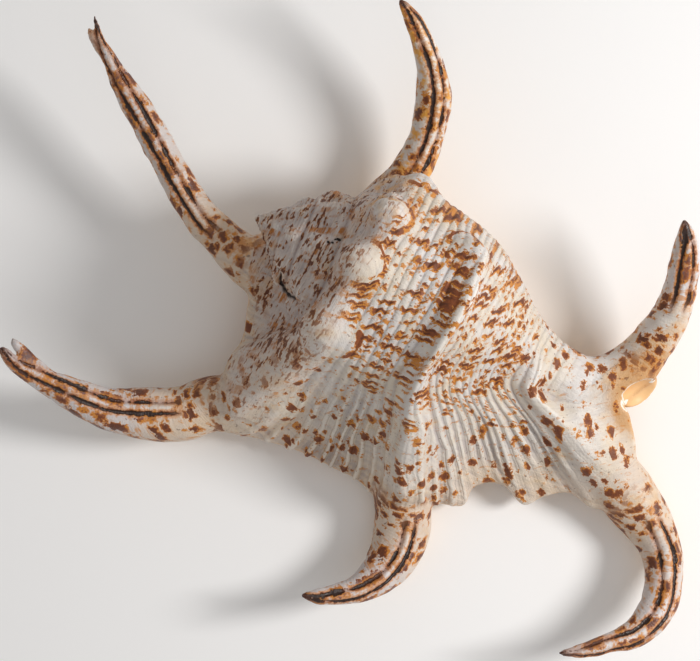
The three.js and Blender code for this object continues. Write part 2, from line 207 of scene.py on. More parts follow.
def curve_through(knots, times, closed=False):
    """Points of a smooth curve at times from 0 to 1. knots is (..., count, 3)."""
    knots = np.asarray(knots, float)
    count = knots.shape[-2]
    place = np.asarray(times, float) * (count if closed else count - 1)
    first = np.floor(place).astype(int)
    if not closed:
        first = np.clip(first, 0, count - 2)
    u = (place - first)[..., None]
    if closed:
        picked = [knots[..., (first + k) % count, :] for k in (-1, 0, 1, 2)]
    else:
        lead = 2 * knots[..., :1, :] - knots[..., 1:2, :]
        tail = 2 * knots[..., -1:, :] - knots[..., -2:-1, :]
        padded = np.concatenate([lead, knots, tail], axis=-2)
        picked = [padded[..., first + k, :] for k in (0, 1, 2, 3)]
    a, b, c, d = picked
    gaps = [np.sqrt(np.linalg.norm(q - p, axis=-1, keepdims=True)) for p, q in ((a, b), (b, c), (c, d))]
    middle = np.where(gaps[1] < 1e-4, 1.0, gaps[1])
    before = np.where(gaps[0] < 1e-4, middle, gaps[0])
    after = np.where(gaps[2] < 1e-4, middle, gaps[2])
    leave = ((b - a) / before - (c - a) / (before + middle) + (c - b) / middle) * middle
    arrive = ((c - b) / middle - (d - b) / (middle + after) + (d - c) / after) * middle
    return (
        b + leave * u + (3 * (c - b) - 2 * leave - arrive) * u**2 + (2 * (b - c) + leave + arrive) * u**3
    )


def axis_point(along):
    along = np.asarray(along, float)[..., None]
    flat = np.concatenate([SPIRE_TIP + along * axis_along[:2], 0 * along], axis=-1)
    return flat + smooth_value(AXIS_HEIGHT, along) * up


def body_point(along, degrees, radius):
    """A point on the round of the body: 0 degrees faces the lip and 90 is the top of the back."""
    angle = np.radians(np.asarray(degrees, float))[..., None]
    radius = np.asarray(radius, float)[..., None]
    return axis_point(along) + radius * np.cos(angle) * lipward + radius * np.sin(angle) * up


def soft_noise(points, seed):
    """Smooth noise from -1 to 1 with one wave or so to a unit of length."""
    cell = np.floor(points).astype(np.int64)
    u = points - cell
    u = u * u * (3 - 2 * u)
    total = np.zeros(len(points))
    for corner in np.ndindex(2, 2, 2):
        weight = np.prod(np.where(np.array(corner) == 1, u, 1 - u), axis=1)
        key = (cell + np.array(corner)) @ np.array([73856093, 19349663, 83492791]) + seed * 2654435761
        key = (key ^ (key >> 13)) & 0xFFFFFFFF
        key = (key * 1274126177 + seed) & 0xFFFFFFFF
        key = ((key ^ (key >> 16)) * 2246822519) & 0xFFFFFFFF
        total += weight * ((key & 0xFFFF) / 32767.5 - 1)
    return total


# ---- The smooth forms, each a net of points that closes on itself ----
def back_net(rows, steps):
    """The body and its lip: every slice goes over the back, down to the lip's edge and back underneath."""
    share = np.linspace(0, 1, rows)
    along = smooth_value(SLICE_ALONG, share)
    radius = smooth_value(BODY_RADIUS, along) - SPIRE_INSET * (1 - step_up(along, 26, 32))
    floor = smooth_value(UNDERSIDE, share)
    edge = curve_through(LIP_EDGE, share)
    leaving = body_point(along, smooth_value(LEAVING_ANGLE, share), radius)
    sag = smooth_value(SLOPE_SAG, share)

    def at_height(p, z):
        return np.concatenate([p[:, :2], np.broadcast_to(z, len(p))[:, None]], axis=1)

    def slope(t, drop):
        return leaving * (1 - t) + edge * t - drop[:, None] * up

    mouth_edge = at_height(
        axis_point(along) + smooth_value(MOUTH_REACH, share)[:, None] * lipward, floor + 7
    )
    inward = (mouth_edge - edge) * (1, 1, 0)
    inward /= np.linalg.norm(inward, axis=1, keepdims=True)
    belly = np.maximum(axis_point(along)[:, 2] - 0.66 * radius, floor + 4)
    corners = [
        at_height(body_point(along, 250, radius), floor + 1),
        at_height(body_point(along, 215, radius), belly),
        *[body_point(along, degrees, radius) for degrees in (180, 148, 116, 84)],
        leaving,
        slope(0.36, sag),
        slope(0.76, sag * 0.7),
        edge,
        edge + 1.6 * inward - LIP_THICKNESS * up,
        at_height(0.5 * (edge + mouth_edge), floor + smooth_value(LIP_HOLLOW, share)),
        mouth_edge,
        at_height(body_point(along, 292, radius), floor),
    ]
    corners = np.stack(corners, axis=1)
    times = np.arange(steps * SLICE_CORNERS) / (steps * SLICE_CORNERS)
    return share, times * SLICE_CORNERS, curve_through(corners, times, closed=True), corners.mean(axis=1)


def outward(net):
    """Unit normals of a net whose second direction closes on itself."""
    down = np.gradient(net, axis=0)
    around = np.roll(net, -1, axis=1) - np.roll(net, 1, axis=1)
    normal = np.cross(around, down)
    return normal / np.maximum(np.linalg.norm(normal, axis=-1, keepdims=True), 1e-9)


def on_back(corner, low=0.5, high=2.0, end=8.0, last=EDGE_CORNER):
    return step_up(corner, low, high) * (1 - step_up(corner, end, last))


def broad_relief(share, corner, point):
    """Keels and knobs over the smooth back."""
    total = np.zeros(point.shape[:-1])
    for at, width, height, rise in KEELS:
        total += step_up(corner, *rise) * height * np.exp(-(((share - at) / width) ** 2))
    for along, angle, height, spread in KNOBS:
        centre = body_point(along, angle, smooth_value(BODY_RADIUS, along))
        total += height * np.exp(-((point - centre) ** 2).sum(-1) / spread**2)
    return on_back(corner) * total


def spire_net(rows, steps):
    along = np.linspace(0, SPIRE_ROOT, rows)[:, None]
    u = (np.arange(steps) / steps)[None, :]
    cone = smooth_value(BODY_RADIUS, np.minimum(along, SPIRE_LENGTH))
    turns = np.log(np.maximum(along, 1) / SUTURE_FIRST) / math.log(SUTURE_GROWTH) + u
    whorl = np.sin(np.pi * (turns - np.floor(turns)))
    knobs = WHORL_KNOB_HEIGHT * whorl**2 * np.cos(2 * np.pi * WHORL_KNOBS * u)
    closing = 1 - (np.clip(along - SPIRE_LENGTH, 0, None) / (SPIRE_ROOT - SPIRE_LENGTH)) ** 2
    radius = cone * (1 + WHORL_SWELL * whorl + knobs) * np.maximum(closing, 0)
    radius[0] = 0
    return body_point(np.broadcast_to(along, radius.shape), np.broadcast_to(u * 360, radius.shape), radius)


def tube_net(path, half, tall, rows, steps):
    """A tapering tube along a curve, with an upright oval section that closes to a point at each end."""
    v = np.linspace(0, 1, rows)
    centre = curve_through(path, v)
    ahead = curve_through(path, np.minimum(v + 1e-3, 1)) - curve_through(path, np.maximum(v - 1e-3, 0))
    ahead /= np.linalg.norm(ahead, axis=1, keepdims=True)
    side = np.cross(up, ahead)
    side /= np.linalg.norm(side, axis=1, keepdims=True)
    rise = np.cross(ahead, side)
    keys = np.linspace(0, 1, len(half))
    width = smooth_value(list(zip(keys, half)), v)
    height = smooth_value(list(zip(keys, tall)), v)
    from_end = np.minimum(v, 1 - v) * rows
    round_off = np.sqrt(np.clip(1 - (1 - from_end / CLOSING_ROWS) ** 2, 0, 1))
    closing = np.where(from_end < CLOSING_ROWS, round_off, 1)
    angle = np.arange(steps) / steps * 2 * np.pi
    ring = (
        side[:, None] * (width * closing)[:, None, None] * np.cos(angle)[None, :, None]
        + rise[:, None] * (height * closing)[:, None, None] * np.sin(angle)[None, :, None]
    )
    run = np.concatenate([[0], np.cumsum(np.linalg.norm(np.diff(centre, axis=0), axis=1))])
    return centre[:, None] + ring, run, width


def pour(piece, bm):
    """Adds one bmesh to another and frees it."""
    mesh = bpy.data.meshes.new("poured")
    piece.to_mesh(mesh)
    piece.free()
    bm.from_mesh(mesh)
    bpy.data.meshes.remove(mesh)


def add_net(bm, net, ends=None):
    """Lays a net of points on a grid, closes it round and at both ends, and adds it to the bmesh."""
    if ends is not None:
        first, last = (np.broadcast_to(end, net[:1].shape) for end in ends)
        net = np.concatenate([first, net, last])
    rows, steps = net.shape[:2]
    piece = bmesh.new()
    bmesh.ops.create_grid(piece, x_segments=steps, y_segments=rows - 1, size=1)
    closed = (np.concatenate([net, net[:, :1]], axis=1) - ORIGIN) * MM
    piece.verts.ensure_lookup_table()
    order = sorted(piece.verts, key=lambda v: (round(v.co.y, 6), round(v.co.x, 6)))
    for vert, place in zip(order, closed.reshape(-1, 3).tolist()):
        vert.co = place
    bmesh.ops.remove_doubles(piece, verts=piece.verts, dist=1e-7)
    bmesh.ops.recalc_face_normals(piece, faces=piece.faces)
    pour(piece, bm)


def add_ball(bm, centre, radii):
    piece = bmesh.new()
    bmesh.ops.create_uvsphere(piece, u_segments=48, v_segments=32, radius=1)
    bmesh.ops.scale(piece, vec=Vector(radii) * MM, verts=piece.verts)
    bmesh.ops.translate(piece, vec=Vector(np.array(centre) - ORIGIN) * MM, verts=piece.verts)
    pour(piece, bm)


def object_of(bm, name):
    mesh = bpy.data.meshes.new(name)
    bm.to_mesh(mesh)
    bm.free()
    made = bpy.data.objects.new(name, mesh)
    bpy.context.scene.collection.objects.link(made)
    return made


def settle(piece):
    """Applies the piece's modifiers."""
    shown = piece.evaluated_get(bpy.context.evaluated_depsgraph_get())
    made = bpy.data.meshes.new_from_object(shown)
    old, piece.data = piece.data, made
    piece.modifiers.clear()
    bpy.data.meshes.remove(old)


def remesh(piece, size):
    grid = piece.modifiers.new("even skin", "REMESH")
    grid.mode = "VOXEL"
    grid.voxel_size = size * MM
    settle(piece)


# ---- The joined shell ----
# Rows of slices and steps between the corners of one, then rows and steps of the other nets.
BACK_ROWS, BACK_STEPS = 260, 14
SPIRE_NET, TUBE_NET, PRONG_NET, APEX_NET, MOUTH_NET = (150, 160), (120, 40), (40, 24), (16, 20), (100, 40)
FIRST_VOXEL, VOXEL = 0.6, 0.5
share, corner, smooth_back, back_ends = back_net(BACK_ROWS, BACK_STEPS)
share_net, corner_net = np.broadcast_arrays(share[:, None], corner[None, :])
normals = outward(smooth_back)
if normals[BACK_ROWS // 2, TOP_CORNER * BACK_STEPS, 2] < 0:
    normals = -normals
back = smooth_back + normals * broad_relief(share_net, corner_net, smooth_back)[..., None]
spire = spire_net(*SPIRE_NET)
tubes = {}
for name, (path, half) in FINGERS.items():
    tall = [FINGER_FLATNESS * h for h in half]
    tubes[name] = tube_net(path, half, tall, *(PRONG_NET if "prong" in name else TUBE_NET))

body = bmesh.new()
add_net(body, back, ends=(back_ends[0], back_ends[-1]))
add_net(body, spire)
for net, _, _ in tubes.values():
    add_net(body, net)
add_net(body, tube_net(*APEX, APEX[1], *APEX_NET)[0])
add_ball(body, *SPIRE_WEB)
add_ball(body, *CANAL_LOBE)
shell = object_of(body, "spider_conch")
remesh(shell, FIRST_VOXEL)

mouth_net, _, _ = tube_net(*MOUTH, *MOUTH_NET)
cuts = {"mouth_cut": bmesh.new(), "notch_cut": bmesh.new()}
add_net(cuts["mouth_cut"], mouth_net)
add_ball(cuts["notch_cut"], *NOTCH_SCOOP)
tools = [object_of(bm, name) for name, bm in cuts.items()]
for tool in tools:
    cut = shell.modifiers.new("cut", "BOOLEAN")
    cut.operation, cut.object, cut.solver = "DIFFERENCE", tool, "MANIFOLD"
settle(shell)
for tool in tools:
    bpy.data.objects.remove(tool)
remesh(shell, VOXEL)


# ---- Reading the skin: which form each point belongs to, and where on it ----
def read_rows(items, field, width, kind=np.float32):
    flat = np.empty(len(items) * width, kind)
    items.foreach_get(field, flat)
    return flat.reshape(-1, width)


def skin_points(piece):
    return read_rows(piece.data.vertices, "co", 3).astype(float) / MM + ORIGIN


def put_points(piece, points):
    flat = ((points - ORIGIN) * MM).astype(np.float32).ravel()
    piece.data.vertices.foreach_set("co", flat)
    piece.data.update()


def skin_normals(piece):
    return read_rows(piece.data.vertex_normals, "vector", 3).astype(float)


class Neighbours:
    """Averages over the points that share an edge."""

    def __init__(self, piece):
        ends = read_rows(piece.data.edges, "vertices", 2, np.int32)
        self.a = np.concatenate([ends[:, 0], ends[:, 1]])
        self.b = np.concatenate([ends[:, 1], ends[:, 0]])
        self.count = len(piece.data.vertices)
        self.degree = np.maximum(np.bincount(self.a, minlength=self.count), 1)

    def mean(self, values):
        if values.ndim == 1:
            return np.bincount(self.a, weights=values[self.b], minlength=self.count) / self.degree
        return np.stack([self.mean(column) for column in values.T], axis=1)

    def spread(self, values, times, weight=0.5):
        for _ in range(times):
            values = values + weight * (self.mean(values) - values)
        return values


class Form:
    """A net with fields on it. It tells how far a point is from the net, and the fields there."""

    def __init__(self, net, fields, wraps=True):
        down = np.gradient(net, axis=0)
        around = np.gradient(net, axis=1)
        if wraps:
            around = (np.roll(net, -1, axis=1) - np.roll(net, 1, axis=1)) / 2
        self.points = net.reshape(-1, 3)
        self.down, self.around = down.reshape(-1, 3), around.reshape(-1, 3)
        self.fields = {}
        for name, values in fields.items():
            by_row, by_step = np.gradient(values, axis=0), np.gradient(values, axis=1)
            self.fields[name] = tuple(x.reshape(-1) for x in (values, by_row, by_step))
        self.tree = kdtree.KDTree(len(self.points))
        for i, place in enumerate(self.points.tolist()):
            self.tree.insert(place, i)
        self.tree.balance()

    def at(self, points):
        find = self.tree.find
        near = np.array([find(place)[1] for place in points.tolist()])
        offset = points - self.points[near]
        d, a = self.down[near], self.around[near]
        dd, da, aa = (d * d).sum(1), (d * a).sum(1), (a * a).sum(1)
        od, oa = (offset * d).sum(1), (offset * a).sum(1)
        scale = np.maximum(dd * aa - da * da, 1e-9)
        row = np.clip((od * aa - oa * da) / scale, -1.5, 1.5)
        step = np.clip((oa * dd - od * da) / scale, -1.5, 1.5)
        away = np.linalg.norm(offset - row[:, None] * d - step[:, None] * a, axis=1)
        here = {
            name: values[near] + row * by_row[near] + step * by_step[near]
            for name, (values, by_row, by_step) in self.fields.items()
        }
        return away, here


def back_forms():
    """The outside of the back and its underside, apart because the lip is thin.

    Fields: the share from spire to canal, the corner of the slice, and the run over the back in mm."""
    steps = np.linalg.norm(back - np.roll(back, 1, axis=1), axis=2)
    steps[:, 0] = 0
    run = np.cumsum(steps, axis=1)
    run -= run[:, [2 * BACK_STEPS]]
    fields = {"share": share_net, "corner": corner_net, "run": run}
    first, last = BACK_STEPS // 2, int(OUTSIDE_END * BACK_STEPS)

    def part(columns):
        own = {name: values[:, columns] for name, values in fields.items()}
        return Form(back[:, columns], own, wraps=False)

    underside = np.r_[last : SLICE_CORNERS * BACK_STEPS, 0:first]
    return part(np.arange(first, last + 1)), part(underside)


def spire_form():
    rows, steps = spire.shape[:2]
    along = np.broadcast_to(np.linspace(0, SPIRE_ROOT, rows)[:, None], (rows, steps)).copy()
    turn = np.broadcast_to((np.arange(steps) / steps)[None, :], (rows, steps)).copy()
    turns = np.log(np.maximum(along, 1) / SUTURE_FIRST) / math.log(SUTURE_GROWTH) + turn
    return Form(spire, {"along": along, "turn": turn, "turns": turns})


def tube_form(name):
    """Fields: mm from the root and left to the tip, the half width, and the lean from the top in degrees."""
    net, run, width = tubes[name]
    rows, steps = net.shape[:2]
    # The seam of the lean is underneath, so the top is smooth.
    lean = np.arange(steps) / steps * 360 - 90
    lean = np.where(lean > 180, lean - 360, lean)
    order = np.argsort(lean, kind="stable")
    columns = {"run": run[:, None], "width": width[:, None], "left": (run[-1] - run)[:, None]}
    columns["lean"] = lean[order][None, :]
    fields = {key: np.broadcast_to(values, (rows, steps)).copy() for key, values in columns.items()}
    return Form(net[:, order], fields, wraps=False)


# A finger's fields reach this many mm round it, and FAR stands for no form near.
FIELD_REACH, FAR = 14, 99.0
points = skin_points(shell)
near_by = Neighbours(shell)
forms = {"back": None, "underside": None, "spire": spire_form(), **{name: tube_form(name) for name in tubes}}
forms["back"], forms["underside"] = back_forms()
names = list(forms)
away, found = {}, {}
for name, form in forms.items():
    if name in ("back", "underside", "spire"):
        picked = np.ones(len(points), bool)
    else:
        low, high = form.points.min(0) - FIELD_REACH, form.points.max(0) + FIELD_REACH
        picked = ((points > low) & (points < high)).all(1)
    distance = np.full(len(points), FAR)
    values = {field: np.zeros(len(points)) for field in form.fields}
    distance[picked], got = form.at(points[picked])
    for field in got:
        values[field][picked] = got[field]
    away[name], found[name] = distance, values
mouth_form = Form(mouth_net, {})
mouth_away = mouth_form.at(points)[0]


# ---- Which form each point of the skin belongs to ----
FINGER_NAMES = [name for name in tubes if "prong" not in name]
table = np.stack([away[name] for name in names], axis=1)
nearest = table.argmin(axis=1)
# How near a point lies to a cut that made it, and how far it then is from every form.
MOUTH_NEAR, NOTCH_NEAR, FORM_OFF = 0.45, 0.5, 0.4
notch_centre, notch_radii = (np.array(x, float) for x in NOTCH_SCOOP)
scooped = np.abs(np.linalg.norm((points - notch_centre) / notch_radii, axis=1) - 1) * notch_radii.min()
SPIRE_LABEL, MOUTH_LABEL, NOTCH_LABEL = names.index("spire"), len(names), len(names) + 1
label = nearest.copy()
label[nearest == names.index("underside")] = names.index("back")
label[mouth_away < MOUTH_NEAR] = MOUTH_LABEL
label[(scooped < NOTCH_NEAR) & (table.min(axis=1) > FORM_OFF)] = NOTCH_LABEL

# How much each kind of crease is rounded, and how widely, strongly and often.
SEAM_ROUNDING, RIM_ROUNDING, NOTCH_ROUNDING = 0.35, 0.5, 0.04
CREASE_SPREAD, CREASE_GAIN, CREASE_PASSES = 26, 5, 60


def round_creases():
    """Smooths the skin where two forms meet, most at the roots of the fingers."""
    crossing = label[near_by.a] != label[near_by.b]
    a, b = label[near_by.a[crossing]], label[near_by.b[crossing]]
    weight = np.ones(len(a))
    weight[(a == SPIRE_LABEL) | (b == SPIRE_LABEL)] = SEAM_ROUNDING
    weight[(a >= MOUTH_LABEL) | (b >= MOUTH_LABEL)] = RIM_ROUNDING
    weight[(a == NOTCH_LABEL) | (b == NOTCH_LABEL)] = NOTCH_ROUNDING
    crease = np.zeros(len(label))
    np.maximum.at(crease, near_by.a[crossing], weight)
    soft = near_by.spread(crease, CREASE_SPREAD)
    soft = np.clip(soft * CREASE_GAIN, 0, 1)
    moved = points.copy()
    for _ in range(CREASE_PASSES):
        moved = moved + 0.5 * soft[:, None] * (near_by.mean(moved) - moved)
    return near_by.spread(moved, 2)


points = round_creases()
put_points(shell, points)


def soft_mask(picked, passes):
    return near_by.spread(picked.astype(float), passes)


def soft_disc(x, y, radius):
    """1 at a place in plan, falling off over the radius."""
    return np.exp(-((points[:, 0] - x) ** 2 + (points[:, 1] - y) ** 2) / radius**2)


def wavy(seed, x, y, z=0.0):
    """Smooth noise over fields of the skin."""
    return soft_noise(np.stack(np.broadcast_arrays(x, y, z), axis=1), seed)


# ---- Fields over the whole skin ----
share, corner, run = (found["back"][k] for k in ("share", "corner", "run"))
rib = RIB_COUNT * (1 - share)
on_spire = soft_mask(label == SPIRE_LABEL, 8)
knob = np.zeros(len(points))
for at, angle, height, spread in KNOBS:
    centre = body_point(at, angle, smooth_value(BODY_RADIUS, at) + 0.7 * height)
    rounded = np.exp(-((points - centre) ** 2).sum(1) / (1.1 * spread) ** 2)
    knob = np.maximum(knob, min(height / 5, 1) * rounded)
finger_index = np.full(len(points), -1)
finger_run, finger_side, finger_left, finger_lean = (np.zeros(len(points)) for _ in range(4))
finger_away = np.full(len(points), FAR)
furrow_from, furrow_gap, honey = np.zeros(len(points)), np.ones(len(points)), np.zeros(len(points))
for k, name in enumerate(FINGER_NAMES):
    own = nearest == names.index(name)
    prong = name.replace("finger", "prong")
    if prong in tubes:
        own |= nearest == names.index(prong)
    field = found[name]
    reach = table[:, names.index(name)] < np.minimum(FIELD_REACH, finger_away)
    finger_away = np.minimum(finger_away, table[:, names.index(name)])
    finger_index[own] = k
    fill = own | (reach & (finger_index < 0))
    centre, inside, begins, half_gap, sweet = FURROWS[name]
    for target, value in (
        (finger_run, field["run"] - inside),
        (finger_side, np.radians(field["lean"] - centre) * field["width"]),
        (finger_left, field["left"]),
        (finger_lean, field["lean"]),
        (furrow_from, np.full(len(points), float(begins))),
        (furrow_gap, np.full(len(points), half_gap)),
        (honey, np.full(len(points), sweet)),
    ):
        target[fill] = value[fill]
on_finger = soft_mask(finger_index >= 0, 14) * step_up(finger_run, -9, 3)
honey = near_by.spread(honey * on_finger, 20)
for x, y, radius, strength in HONEY_CLOUDS:
    honey = np.maximum(honey, strength * soft_disc(x, y, radius))
faces_down = skin_normals(shell)[:, 2] < 0.1
inner = ((label == MOUTH_LABEL) | (label == NOTCH_LABEL)).astype(float)
inner = np.maximum(inner, (nearest == names.index("underside")) * faces_down)
inner = near_by.spread(inner, 5)
rim = np.clip(1 - 2.4 * np.abs(inner - 0.42), 0, 1) * (points[:, 2] > 12)
rim *= soft_mask(label == NOTCH_LABEL, 4) > 0.1
back_mask = on_back(corner, 0.3, 1.4, 8.9, 9.3) * (1 - on_spire) * (1 - on_finger) * (1 - inner)


def seam_distance(points):
    """Distance in plan to the open seam, and how far along it from 0 to 1."""
    line = np.array(SEAM)
    best, along = np.full(len(points), FAR), np.zeros(len(points))
    for i, (p, q) in enumerate(zip(line[:-1], line[1:])):
        t = np.clip(((points[:, :2] - p) @ (q - p)) / ((q - p) @ (q - p)), 0, 1)
        d = np.linalg.norm(points[:, :2] - p - t[:, None] * (q - p), axis=1)
        closer = d < best
        best[closer], along[closer] = d[closer], (i + t[closer]) / (len(line) - 1)
    return best, along


# ---- Relief, in mm ----
RIB_LOW, RIB_TALL, SCALLOP = 0.24, 0.66, 1.3
LUMP, PUCKER = 0.34, 0.14
FURROW_DEPTH, FURROW_WIDTH, FURROW_SHIFT, FINGER_SWELL = 0.55, 0.5, 0.12, 0.38
SEAM_DEPTH, SEAM_WIDTH, CHIP_DEPTH = 0.7, 0.6, 0.5
# The seam and the chips lie above these heights, and the FAR ones stand for far from a seam or a furrow.
SEAM_FLOOR, CHIPS_FLOOR, SEAM_FAR, FURROW_FAR = 8, 20, 9, 9
cord = rib + 0.2 * wavy(3, rib * 0.35, run * 0.08)
cord += 0.08 * wavy(4, rib * 0.9, run * 0.3)

# The cords fade under the spire, on the knobs, beyond the last keel, near the canal and on the smooth margin.
margin = corner + 0.3 * soft_noise(points * 0.2, 61)
cord_fade = step_up(share, 0.15, 0.26) * (1 - 0.3 * step_up(corner, 8.4, 8.9))
cord_fade *= 1 - 0.7 * np.clip(knob, 0, 1)
cord_fade *= 1 - 0.85 * step_up(share, 0.79, 0.87) * step_up(corner, 5.2, 6.4)
cord_fade *= 1 - 0.9 * step_up(share, 0.9, 0.98)
cord_fade *= 1 - 0.75 * step_up(share, 0.5, 0.58) * step_up(margin, 7.45, 8.2)


def rib_relief():
    """Rounded cords that run from the crest to the lip's edge, split in two and grow taller towards it."""
    near_edge = step_up(corner, 6, 8.2)
    main = (0.5 + 0.5 * np.cos(2 * np.pi * cord)) ** 0.8 - 0.5
    split = 0.5 * np.cos(4 * np.pi * cord)
    tall = RIB_LOW + (RIB_TALL - RIB_LOW) * step_up(corner, 5.4, 8.2)
    scalloped = SCALLOP * step_up(corner, 8.2, 8.8) * step_up(share, 0.19, 0.26)
    tall += scalloped * (1 - step_up(share, 0.46, 0.54))
    uneven = 1 + 0.4 * wavy(5, np.floor(cord + 0.5) * 1.7, run * 0.11)
    return back_mask * cord_fade * tall * uneven * (main + 0.34 * near_edge * split)


def growth_relief():
    """Lines of growth across the cords, deeper near the lip and on the wing beside the spire."""
    lines = wavy(11, rib * 0.22, run * 0.85)
    waves = wavy(12, rib * 0.12, run * 0.24)
    wing = 1 - step_up(share, 0.16, 0.24)
    depth = 0.05 + 0.1 * step_up(corner, 7, 8.8) + 0.12 * wing
    return back_mask * (depth * lines + 0.12 * waves * (0.4 + wing))


def spire_relief():
    """Spiral cords, slanted threads, small knobs on each turn and the sutures between the turns."""
    turns, turn = found["spire"]["turns"], found["spire"]["turn"]
    cords = np.cos(2 * np.pi * turns * 7)
    slant = wavy(21, turn * 46 + turns * 3, turns * 2.2)
    whorl = np.abs(np.sin(np.pi * turns))
    knobs = whorl**2 * np.cos(2 * np.pi * WHORL_KNOBS * turn)
    low = np.clip(found["spire"]["along"] / 16, 0.2, 1)
    suture = np.exp(-((whorl / 0.16) ** 2))
    return on_spire * (0.1 * cords + 0.14 * slant + low * (0.75 * knobs - 0.6 * suture))


furrow_at = furrow_gap * step_up(finger_left, -2, 14)
furrow_off = np.abs(np.abs(finger_side) - furrow_at - FURROW_SHIFT)
furrow_on = step_up(finger_run - furrow_from, 0, 9) * on_finger * (np.abs(finger_lean) < 120)


def finger_relief():
    """Two furrows with a knuckled ridge between them on top, rings of growth, and one groove underneath."""
    furrow = np.exp(-((furrow_off / FURROW_WIDTH) ** 2)) * step_up(finger_left, 0.5, 6)
    knuckles = wavy(33, finger_run * 0.5, 0.0, finger_index)
    ridge = np.exp(-((finger_side / 0.9) ** 2)) * (0.22 + 0.14 * knuckles) * step_up(finger_left, 2, 8)
    rings = wavy(31, finger_run * 0.42, finger_side * 0.05, finger_index)
    under = np.abs(np.abs(finger_lean) - 180) / 34
    groove = np.exp(-(under**2)) * step_up(finger_run, -4, 6) * step_up(finger_left, 2, 12)
    swell = FINGER_SWELL * step_up(finger_run, -2, 10)
    return furrow_on * (ridge - FURROW_DEPTH * furrow) + on_finger * (swell + 0.16 * rings - 1.1 * groove)


def skin_relief():
    """Low lumps and puckers everywhere but inside."""
    lumps = soft_noise(points * 0.11, 41) * LUMP + soft_noise(points * 0.3, 42) * PUCKER
    return (1 - 0.8 * inner) * lumps


seam_gap, seam_along = seam_distance(points)
seam_gap = np.where(points[:, 2] > SEAM_FLOOR, seam_gap, SEAM_FAR)
ragged = 0.22 * soft_noise(points * 0.9, 51)
narrowing = 1.2 * step_up(np.abs(seam_along - 0.5), 0.36, 0.5)
seam_gap = np.clip(seam_gap + ragged + narrowing, 0, SEAM_FAR)
seam_open = np.exp(-((seam_gap / SEAM_WIDTH) ** 2))
chips = np.zeros(len(points))
for x, y, radius in CHIPS:
    chips = np.maximum(chips, soft_disc(x, y, radius))
chips *= (points[:, 2] > CHIPS_FLOOR) * (0.75 + 0.5 * soft_noise(points * 1.3, 52))
normal = near_by.spread(skin_normals(shell), 3)
normal /= np.maximum(np.linalg.norm(normal, axis=1, keepdims=True), 1e-9)
upper = step_up(normal[:, 2], -0.55, -0.15)
relief = upper * (rib_relief() + growth_relief()) + spire_relief() + finger_relief() + skin_relief()
relief -= SEAM_DEPTH * seam_open + CHIP_DEPTH * chips
points = points + normal * relief[:, None]
points[:, 2] = np.maximum(points[:, 2], 0)
put_points(shell, points)

# How hollow the skin is: the finish darkens the hollows with painted shade and lightens the crests with
# painted highlight.
smooth_points = near_by.spread(points, 12)
hollow = np.clip(((smooth_points - points) * normal).sum(1) / 0.22, -1, 1)


# ---- The fields that the finish reads, kept on the points ----
whorl_edge = np.abs(np.sin(np.pi * found["spire"]["turns"]))
KEPT = {
    "cord": cord,
    "cords_shown": back_mask * cord_fade * upper,
    "upper": near_by.spread(upper, 3),
    "knob": knob,
    "rim": rim,
    "suture": on_spire * np.exp(-((whorl_edge / 0.1) ** 2)),
    "run": run,
    "corner": corner,
    "share": share,
    "on_spire": on_spire,
    "on_finger": on_finger,
    "finger_run": finger_run,
    "finger_side": finger_side,
    "finger_left": finger_left,
    "finger_top": 1 - step_up(np.abs(finger_lean), 100, 135),
    "inner": inner,
    "seam_gap": seam_gap,
    "chips": chips,
    "honey": honey,
    "furrow_off": np.where(on_finger > 0.01, furrow_off, FURROW_FAR),
    "furrow_outer": np.abs(finger_side) > furrow_at + FURROW_SHIFT,
    "furrow_on": furrow_on,
    "hollow": hollow,
}
for name, values in KEPT.items():
    kept = shell.data.attributes.new(name, "FLOAT", "POINT")
    kept.data.foreach_set("value", np.asarray(values, np.float32))

TRIANGLES = 194000
thin = shell.modifiers.new("fewer faces", "DECIMATE")
thin.ratio = TRIANGLES / (2 * len(shell.data.polygons))
thin.use_collapse_triangulate = True
settle(shell)
for face in shell.data.polygons:
    face.use_smooth = True


